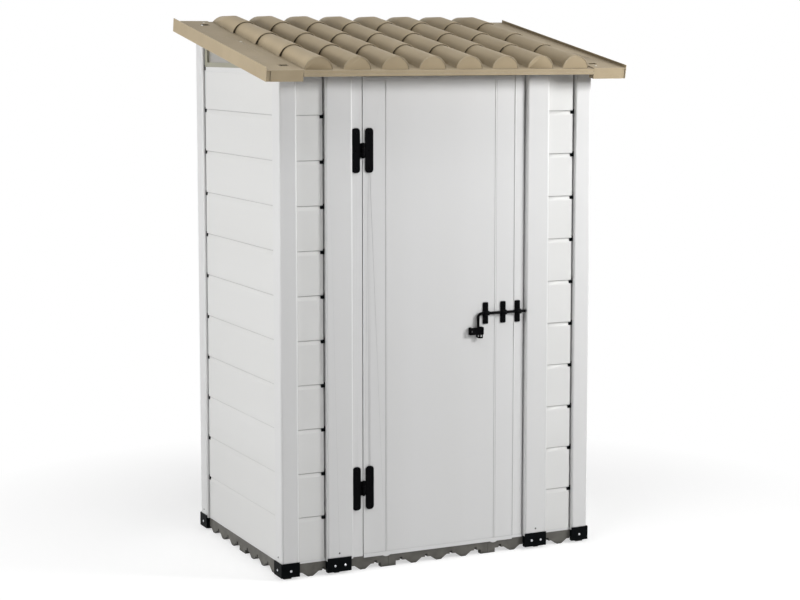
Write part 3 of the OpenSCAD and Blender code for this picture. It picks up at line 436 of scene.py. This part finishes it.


# White planks and profiles: painted shade in the joints and in the gaps at the posts, and edge wear
# together with a painted highlight on the edges.
WHITE_PLANK = Finish("white planks", (0.80, 0.80, 0.79), (0.765, 0.765, 0.75), tint_scale=3.0,
                     roughness=0.46, grain_scale=260.0, grain_height=0.03, grain=Grain.LEVEL,
                     edge_colour=(0.90, 0.90, 0.89), edge_strength=1.5, dust=0.2, specular=0.4,
                     painted_shade_colour=(0.22, 0.22, 0.23), painted_shade=0.55, painted_shade_reach=6.0 * MM)
WHITE_PROFILE = Finish("white profiles", (0.785, 0.785, 0.785), (0.755, 0.755, 0.75), tint_scale=3.0,
                       roughness=0.38, grain_scale=260.0, grain_height=0.02, grain=Grain.UPRIGHT,
                       edge_colour=(0.90, 0.90, 0.89), edge_strength=1.5, dust=0.2, specular=0.4,
                       painted_shade_colour=(0.22, 0.22, 0.23), painted_shade=0.55, painted_shade_reach=6.0 * MM)
# Roof plastic: painted shade in the tile valleys and under the tile lips, and edge wear together with a
# lighter painted highlight on the lips and edges.
ROOF_TILE = Finish("taupe roof plastic", (0.485, 0.395, 0.262), (0.43, 0.345, 0.226), tint_scale=7.0,
                   roughness=0.55, grain_scale=700.0, grain_height=0.05,
                   edge_colour=(0.72, 0.66, 0.54), edge_strength=3.0, edge_radius=2.5 * MM, dust=0.1,
                   painted_shade_colour=(0.07, 0.058, 0.036), painted_shade=0.9, painted_shade_reach=0.06, specular=0.2)
# The tile end caps use the roof plastic without its painted shade.
TILE_CAP = replace(ROOF_TILE, name="taupe cap plastic", painted_shade=0.0)
# Floor plastic: near-black painted shade in the pockets and behind the lobes, and edge wear together with a
# painted highlight on the edges.
FLOOR = Finish("grey floor plastic", (0.15, 0.145, 0.13), (0.105, 0.10, 0.09), tint_scale=20.0,
               roughness=0.6, grain_scale=800.0, grain_height=0.06,
               edge_colour=(0.30, 0.29, 0.27), edge_strength=2.0, dust=0.2,
               painted_shade_colour=(0.008, 0.008, 0.007), painted_shade=0.9, painted_shade_reach=15.0 * MM, specular=0.25)
# The black parts: edge wear together with a painted highlight on their edges.
BLACK_PLASTIC = Finish("black plastic", (0.0035, 0.0045, 0.005), (0.002, 0.0025, 0.003), tint_scale=20.0,
                       roughness=0.5, grain_scale=900.0, grain_height=0.04,
                       edge_colour=(0.03, 0.034, 0.036), edge_strength=1.5, dust=0.01, specular=0.03)
BLACK_STEEL = Finish("black coated steel", (0.0025, 0.0025, 0.003), (0.0015, 0.0015, 0.002),
                     tint_scale=25.0, roughness=0.46, grain_scale=1400.0, grain_height=0.03,
                     edge_colour=(0.03, 0.03, 0.033), edge_strength=1.5, specular=0.03)
BRIGHT_ZINC = Finish("bright zinc", (0.56, 0.57, 0.59), (0.44, 0.45, 0.47), tint_scale=90.0,
                     roughness=0.28, grain_scale=1500.0, grain_height=0.01, metallic=1.0)
DULL_ZINC = Finish("dull zinc", (0.15, 0.15, 0.145), (0.10, 0.10, 0.097), tint_scale=90.0,
                   roughness=0.5, grain_scale=1500.0, grain_height=0.01, metallic=0.3, specular=0.2)
GALVANISED = Finish("galvanised steel", (0.55, 0.56, 0.58), (0.42, 0.43, 0.45), tint_scale=40.0,
                    roughness=0.42, grain_scale=400.0, grain_height=0.02, metallic=1.0)
# Window frame: edge wear together with a painted highlight on its edges.
WINDOW_FRAME = Finish("beige window frame", (0.37, 0.36, 0.285), (0.33, 0.32, 0.25), tint_scale=8.0,
                      roughness=0.48, grain_scale=700.0, grain_height=0.03,
                      edge_colour=(0.55, 0.53, 0.44), edge_strength=1.5, dust=0.15, specular=0.35)
WINDOW_PANE = Finish("clear window pane", (0.60, 0.58, 0.54), (0.55, 0.53, 0.49), tint_scale=6.0,
                     roughness=0.16, roughness_change=0.05, grain_scale=120.0, grain_height=0.02, alpha=0.6)
PALE_CAP = Finish("pale screw caps", (0.74, 0.70, 0.62), (0.68, 0.64, 0.56), tint_scale=60.0,
                  roughness=0.35, grain_scale=900.0, grain_height=0.01)

FINISH_OF_SLOT = {
    "floor_plastic": FLOOR, "black_plastic": BLACK_PLASTIC, "bright_screw": BRIGHT_ZINC,
    "window_frame": WINDOW_FRAME, "window_pane": WINDOW_PANE, "purlin_metal": GALVANISED,
    "roof_screw": PALE_CAP, "roof_plastic": ROOF_TILE, "black_metal": BLACK_STEEL,
    "white_pvc": WHITE_PROFILE,
}


class Paintbox:
    """Makes each finish once and hands out its material."""

    def __init__(self) -> None:
        """Builds the shared effects first."""
        self.effects = Effects()
        self._made: dict[str, bpy.types.Material] = {}

    def material(self, finish: Finish) -> bpy.types.Material:
        """Returns the material of a finish, made on first use."""
        if finish.name not in self._made:
            self._made[finish.name] = finish.make(self.effects)
        return self._made[finish.name]

    def dress(self, piece: bpy.types.Object, finish: Finish) -> None:
        """Gives a whole piece one finish."""
        piece.data.materials.clear()
        piece.data.materials.append(self.material(finish))


# ---- Frame pieces ----


@dataclass
class Carcass:
    """The pieces that keep their solid shape and get rounded edges and a finish."""

    edge: float = 0.7 * MM
    weld: float = 0.01 * MM
    sharp: float = math.radians(32)
    steps: int = 2

    def dress(self, paints: Paintbox) -> None:
        """Finishes every node of the frame by its slot, and planks and tile end caps by name.

        Args:
            paints: the finishes.
        """
        slots = {entry["node"]: entry["material_slot"] for entry in frame["record"]["subparts"]}
        for name, node in frame["nodes"].items():
            finish = FINISH_OF_SLOT[slots[name]]
            if name.endswith("planks"):
                finish = WHITE_PLANK
            if name == "tile_end_caps":
                finish = TILE_CAP
            paints.dress(node, finish)
            self.round_edges(node)
        LOG.info("frame dressed: %d nodes", len(frame["nodes"]))

    def round_edges(self, node: bpy.types.Object) -> None:
        """Breaks the sharp edges of a node with a small rounding."""
        weld = node.modifiers.new("weld", "WELD")
        weld.merge_threshold = self.weld
        bevel = node.modifiers.new("rounded edges", "BEVEL")
        bevel.width = self.edge
        bevel.segments = self.steps
        bevel.limit_method = "ANGLE"
        bevel.angle_limit = self.sharp
        bevel.harden_normals = True


# ---- Pieces made here ----


class Workshop:
    """Turns finished meshes into pieces that ride on a body of the frame."""

    def __init__(self, paints: Paintbox) -> None:
        """Keeps the finishes at hand."""
        self.paints = paints

    def hand_over(self, name: str, shape: bmesh.types.BMesh, finish: Finish, body: Body,
                  replaced: tuple[str, ...] = ()) -> None:
        """Makes a dressed piece of a mesh and puts it on its body.

        Args:
            name: the piece's name.
            shape: its mesh, which is used up.
            finish: its finish.
            body: the body that it rides on.
            replaced: frame nodes that it stands for.
        """
        bmesh.ops.recalc_face_normals(shape, faces=shape.faces)
        mesh = bpy.data.meshes.new(name)
        shape.to_mesh(mesh)
        shape.free()
        piece = bpy.data.objects.new(name, mesh)
        bpy.context.scene.collection.objects.link(piece)
        self.paints.dress(piece, finish)
        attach(piece, body.value)
        if replaced:
            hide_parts(*replaced)
        LOG.info("piece made: %s", name)


@dataclass(frozen=True)
class Fastener:
    """One screw, as measured on its solid in the frame."""

    RIM_SHARE: ClassVar[float] = 0.98
    TIP_DEPTH: ClassVar[float] = 0.1 * MM

    seat: Vector
    out: Vector
    head_radius: float
    head_height: float
    shank_radius: float
    length: float

    @classmethod
    def measured(cls, points: np.ndarray) -> "Fastener":
        """Finds the axis, head and shank of a screw.

        Args:
            points: the corners of its solid.

        Returns:
            The measured screw.
        """
        middle = points.mean(axis=0)
        axis = np.linalg.svd(points - middle)[2][0]
        along = (points - middle) @ axis
        across = np.linalg.norm(points - middle - np.outer(along, axis), axis=1)
        widest = across > cls.RIM_SHARE * across.max()
        if along[widest].mean() < (along.min() + along.max()) / 2:
            axis, along = -axis, -along
        seat = along[widest].mean()
        tip = along < along.min() + cls.TIP_DEPTH
        return cls(Vector(middle + axis * seat), Vector(axis), float(across.max()),
                   float(along.max() - seat), float(across[tip].max()), float(seat - along.min()))


@dataclass
class ScrewWork:
    """Domed screws with a cross recess in place of the plain ones."""

    segments: int = 32
    recess_reach: float = 0.42
    recess_half_width: float = 0.1
    recess_depth: float = 0.9 * MM
    recess_share: float = 0.6
    recess_extra: float = 0.3 * MM
    weld: float = 0.01 * MM
    profile: tuple[tuple[float, float], ...] = (
        (0.10, 1.0), (0.22, 0.995), (0.33, 0.98), (0.42, 0.95), (0.55, 0.9), (0.72, 0.76), (0.87, 0.5),
        (0.96, 0.22), (1.0, 0.0))
    sets: tuple[tuple[str, Finish, Body, str], ...] = (
        ("shoe_screws", BRIGHT_ZINC, Body.SHELL, "bright_screw"),
        ("post_screws", DULL_ZINC, Body.SHELL, "bright_screw"),
        ("roof_screws", PALE_CAP, Body.SHELL, "roof_screw"),
        ("hinge_frame_screws", BLACK_STEEL, Body.SHELL, "black_metal"),
        ("door_screws", BLACK_STEEL, Body.DOOR, "black_metal"),
    )

    def build(self, workshop: Workshop) -> None:
        """Makes one piece of each set of screws.

        Args:
            workshop: hands the pieces over.
        """
        for node, finish, body, slot in self.sets:
            shape = bmesh.new()
            for points in self._solids(frame["nodes"][node]):
                self._screw(shape, Fastener.measured(points))
            for face in shape.faces:
                face.smooth = True
            workshop.hand_over(node + "_cross_head", shape, finish, body, (node,))

    def _solids(self, node: bpy.types.Object) -> list[np.ndarray]:
        """Splits a node's mesh into its separate solids.

        Args:
            node: the frame node.

        Returns:
            The corners of each solid.
        """
        shape = bmesh.new()
        shape.from_mesh(node.data)
        bmesh.ops.remove_doubles(shape, verts=shape.verts, dist=self.weld)
        seen: set[bmesh.types.BMVert] = set()
        solids = []
        for start in shape.verts:
            if start in seen:
                continue
            seen.add(start)
            reached, waiting = [], [start]
            while waiting:
                corner = waiting.pop()
                reached.append(tuple(corner.co))
                for edge in corner.link_edges:
                    other = edge.other_vert(corner)
                    if other not in seen:
                        seen.add(other)
                        waiting.append(other)
            solids.append(np.array(reached))
        shape.free()
        return solids

    def _screw(self, shape: bmesh.types.BMesh, screw: Fastener) -> None:
        """Adds one screw to a mesh.

        Args:
            shape: the mesh.
            screw: the screw's measures.
        """
        side = screw.out.orthogonal().normalized()
        up = screw.out.cross(side)
        depth = min(self.recess_depth, self.recess_share * screw.head_height + self.recess_extra)
        rings = [[(reach * screw.head_radius, rise * screw.head_height - self._sunk(reach, turn) * depth)
                  for turn in self._turns()] for reach, rise in self.profile]
        rings += [[(screw.shank_radius, height)] * self.segments for height in (0.0, -screw.length)]
        rows = []
        for ring in rings:
            rows.append([shape.verts.new(screw.seat + radius * (math.cos(turn) * side + math.sin(turn) * up)
                                         + height * screw.out)
                         for turn, (radius, height) in zip(self._turns(), ring)])
        bridge(shape, rows)
        for row, height in ((rows[0], screw.head_height - depth), (rows[-1], -screw.length)):
            centre = shape.verts.new(screw.seat + height * screw.out)
            for i in range(self.segments):
                shape.faces.new((row[i], row[(i + 1) % self.segments], centre))

    def _turns(self) -> list[float]:
        """Returns the angles of the points round a screw."""
        return [math.tau * i / self.segments for i in range(self.segments)]

    def _sunk(self, reach: float, turn: float) -> float:
        """Says whether a point of the head lies in its cross recess.

        Args:
            reach: distance from the axis, as a share of the head's radius.
            turn: angle round the axis.

        Returns:
            1 in the recess and 0 outside it.
        """
        quarter = math.tau / 4
        off_arm = abs((turn + quarter / 2) % quarter - quarter / 2)
        near = reach * math.sin(off_arm) <= self.recess_half_width
        return 1.0 if near and reach <= self.recess_reach else 0.0


@dataclass
class HingeBacking:
    """Thin plates behind the hinge barrels, on the frame and on the door.

    The axis is the hinges' place along X, and the face is the walls' front along Y.
    """

    axis: float = -0.2976
    face: float = -0.354076
    inner: float = 2.0 * MM
    outer: float = 11.0 * MM
    half_height: float = 24.6 * MM
    gap: float = 0.1 * MM
    thickness: float = 0.7 * MM
    corner: float = 1.2 * MM
    middles: tuple[float, float] = (0.292, 1.474)

    def build(self, workshop: Workshop) -> None:
        """Makes the plates of the frame and those of the door.

        Args:
            workshop: hands the pieces over.
        """
        sides = (("frame_hinge_backing", -1.0, Body.SHELL), ("door_hinge_backing", 1.0, Body.DOOR))
        for name, side, body in sides:
            shape = bmesh.new()
            for middle in self.middles:
                self._plate(shape, side, middle)
            workshop.hand_over(name, shape, BLACK_STEEL, body)

    def _plate(self, shape: bmesh.types.BMesh, side: float, middle: float) -> None:
        """Adds one plate with cut corners to a mesh.

        Args:
            shape: the mesh.
            side: -1 on the frame, 1 on the door.
            middle: height of the hinge's middle.
        """
        cut, half = self.corner, self.half_height
        outline = [(self.inner + cut, -half), (self.outer - cut, -half), (self.outer, -half + cut),
                   (self.outer, half - cut), (self.outer - cut, half), (self.inner + cut, half),
                   (self.inner, half - cut), (self.inner, -half + cut)]
        back, front = self.face - self.gap, self.face - self.gap - self.thickness
        rows = [[shape.verts.new((self.axis + side * out, depth, middle + rise)) for out, rise in outline]
                for depth in (front, back)]
        bridge(shape, rows)
        for row in rows:
            shape.faces.new(row)


@dataclass
class WallTrim:
    """Slim cover strip along the top of each side wall, under the gable frame.

    The face is the walls' outside along X. Front and rear are the strip's ends along Y.
    """

    face: float = 0.599
    top: float = 1.7528
    front: float = -0.2935
    rear: float = 0.372
    height: float = 17.0 * MM
    proud: float = 1.3 * MM
    sunk: float = 2.2 * MM
    round_steps: int = 6

    def build(self, workshop: Workshop) -> None:
        """Makes both strips as one piece.

        Args:
            workshop: hands the piece over.
        """
        shape = bmesh.new()
        for side in (-1.0, 1.0):
            rows = [[shape.verts.new((side * (self.face + out), along, self.top - drop))
                     for out, drop in self._section()] for along in (self.front, self.rear)]
            bridge(shape, rows)
            for row in rows:
                shape.faces.new(row)
        workshop.hand_over("side_wall_top_trim", shape, WHITE_PROFILE, Body.SHELL)

    def _section(self) -> list[tuple[float, float]]:
        """Returns the strip's section as distances out of the wall and down from its top."""
        nose = [(self.proud * math.cos(turn), self.height - self.proud + self.proud * math.sin(turn))
                for turn in (i * math.tau / 4 / self.round_steps for i in range(self.round_steps + 1))]
        return [(-self.sunk, 0.0), (self.proud, 0.0), *nose, (-self.sunk, self.height)]


# ---- Studio ----


@dataclass(frozen=True)
class Softbox:
    """One square lamp: where it hangs, what it faces, its side in metres and its power in watts."""

    name: str
    place: Point
    aim: Point
    size: float
    power: float

    def hang(self) -> None:
        """Makes the lamp and turns it to what it faces."""
        lamp = bpy.data.lights.new(self.name, "AREA")
        lamp.shape = "SQUARE"
        lamp.size = self.size
        lamp.energy = self.power
        holder = bpy.data.objects.new(self.name, lamp)
        holder.location = self.place
        facing = Vector(self.aim) - Vector(self.place)
        holder.rotation_euler = facing.to_track_quat("-Z", "Y").to_euler()
        bpy.context.scene.collection.objects.link(holder)


@dataclass
class Studio:
    """Floor, lamps, sky and camera."""

    camera_place: Point = (-2.990, -6.262, 1.841)
    camera_turn: float = 25.642
    camera_tilt: float = 6.549
    lens: float = 85.13
    sensor: float = 36.0
    shift: tuple[float, float] = (0.0, -0.05)
    sky: float = 0.09
    lamps: tuple[Softbox, ...] = (
        Softbox("right softbox", (2.35, -2.1, 2.25), (0.2, -0.35, 0.95), 0.8, 71.0),
        Softbox("front softbox", (0.2, -4.6, 3.1), (0.1, -0.35, 0.9), 1.4, 34.0),
        Softbox("left softbox", (-4.2, -0.2, 2.1), (-0.6, 0.05, 1.1), 1.0, 94.0),
        Softbox("rear softbox", (1.4, 4.4, 1.7), (0.0, 0.4, 0.9), 1.6, 34.0),
        Softbox("top softbox", (-1.2, -1.4, 4.5), (0.0, 0.0, 1.8), 0.9, 33.0),
    )
    floor_half: float = 14.0
    floor_drop: float = 0.2 * MM
    floor_clear: tuple[float, float] = (1.0, 2.0)
    floor_tone: float = 0.6
    floor_roughness: float = 0.95
    floor_shadow: float = 0.5
    floor_glow: float = 0.58

    def build(self) -> None:
        """Sets up the whole studio."""
        bpy.context.scene.view_settings.view_transform = "Standard"
        self._floor()
        self._world()
        for lamp in self.lamps:
            lamp.hang()
        self._camera()
        LOG.info("studio ready")

    def _floor(self) -> None:
        """Makes the pale floor that the shed stands on."""
        mesh = bpy.data.meshes.new("studio floor")
        shape = bmesh.new()
        half = self.floor_half
        corners = ((-half, -half, 0), (half, -half, 0), (half, half, 0), (-half, half, 0))
        shape.faces.new([shape.verts.new(corner) for corner in corners])
        shape.to_mesh(mesh)
        shape.free()
        floor = bpy.data.objects.new("studio_floor", mesh)
        bpy.context.scene.collection.objects.link(floor)
        floor.location.z = -self.floor_drop
        mesh.materials.append(self._floor_material())

    def _floor_material(self) -> bpy.types.Material:
        """Makes a matt pale floor that is seen as white away from the shed's shadow.

        Returns:
            The material.
        """
        material = bpy.data.materials.new("pale floor")
        material.use_nodes = True
        tree = material.node_tree
        matt = tree.nodes["Principled BSDF"]
        matt.inputs["Base Color"].default_value = (*[self.floor_tone] * 3, 1.0)
        matt.inputs["Roughness"].default_value = self.floor_roughness
        matt.inputs["Specular IOR Level"].default_value = 0.0
        shadow = tree.nodes.new("ShaderNodeBsdfDiffuse")
        shadow.inputs["Color"].default_value = (*[self.floor_shadow] * 3, 1.0)
        glow = tree.nodes.new("ShaderNodeEmission")
        glow.inputs["Strength"].default_value = self.floor_glow
        white = tree.nodes.new("ShaderNodeEmission")
        both = tree.nodes.new("ShaderNodeAddShader")
        place = tree.nodes.new("ShaderNodeTexCoord")
        reach = tree.nodes.new("ShaderNodeVectorMath")
        reach.operation = "LENGTH"
        fade = tree.nodes.new("ShaderNodeMapRange")
        fade.inputs["From Min"].default_value, fade.inputs["From Max"].default_value = self.floor_clear
        seen = tree.nodes.new("ShaderNodeMixShader")
        choice = tree.nodes.new("ShaderNodeMixShader")
        link = tree.links.new
        link(shadow.outputs[0], both.inputs[0])
        link(glow.outputs[0], both.inputs[1])
        link(place.outputs["Object"], reach.inputs[0])
        link(reach.outputs["Value"], fade.inputs["Value"])
        link(fade.outputs["Result"], seen.inputs["Fac"])
        link(both.outputs[0], seen.inputs[1])
        link(white.outputs[0], seen.inputs[2])
        link(plain_sight(tree), choice.inputs["Fac"])
        link(matt.outputs[0], choice.inputs[1])
        link(seen.outputs[0], choice.inputs[2])
        link(choice.outputs[0], tree.nodes["Material Output"].inputs["Surface"])
        return material

    def _world(self) -> None:
        """Makes an even pale sky that the camera sees as white."""
        world = bpy.data.worlds.new("studio sky")
        bpy.context.scene.world = world
        world.use_nodes = True
        tree = world.node_tree
        sky = tree.nodes["Background"]
        sky.inputs["Color"].default_value = (1.0, 1.0, 1.0, 1.0)
        sky.inputs["Strength"].default_value = self.sky
        white = tree.nodes.new("ShaderNodeBackground")
        white.inputs["Color"].default_value = (1.0, 1.0, 1.0, 1.0)
        white.inputs["Strength"].default_value = 1.0
        mix = tree.nodes.new("ShaderNodeMixShader")
        link = tree.links.new
        link(plain_sight(tree), mix.inputs["Fac"])
        link(sky.outputs[0], mix.inputs[1])
        link(white.outputs[0], mix.inputs[2])
        link(mix.outputs[0], tree.nodes["World Output"].inputs["Surface"])

    def _camera(self) -> None:
        """Places the camera where the photograph was taken from."""
        data = bpy.data.cameras.new("camera")
        data.lens = self.lens
        data.sensor_width = self.sensor
        data.shift_x, data.shift_y = self.shift
        camera = bpy.data.objects.new("camera", data)
        camera.location = self.camera_place
        camera.rotation_euler = (math.radians(90.0 - self.camera_tilt), 0.0,
                                 -math.radians(self.camera_turn))
        bpy.context.scene.collection.objects.link(camera)
        bpy.context.scene.camera = camera


def main() -> None:
    """Builds and dresses the shed, piece by piece."""
    logging.basicConfig(level=logging.INFO, format="%(message)s")
    paints = Paintbox()
    Carcass().dress(paints)
    workshop = Workshop(paints)
    ScrewWork().build(workshop)
    HingeBacking().build(workshop)
    WallTrim().build(workshop)
    Studio().build()


if __name__ == "__main__":
    main()
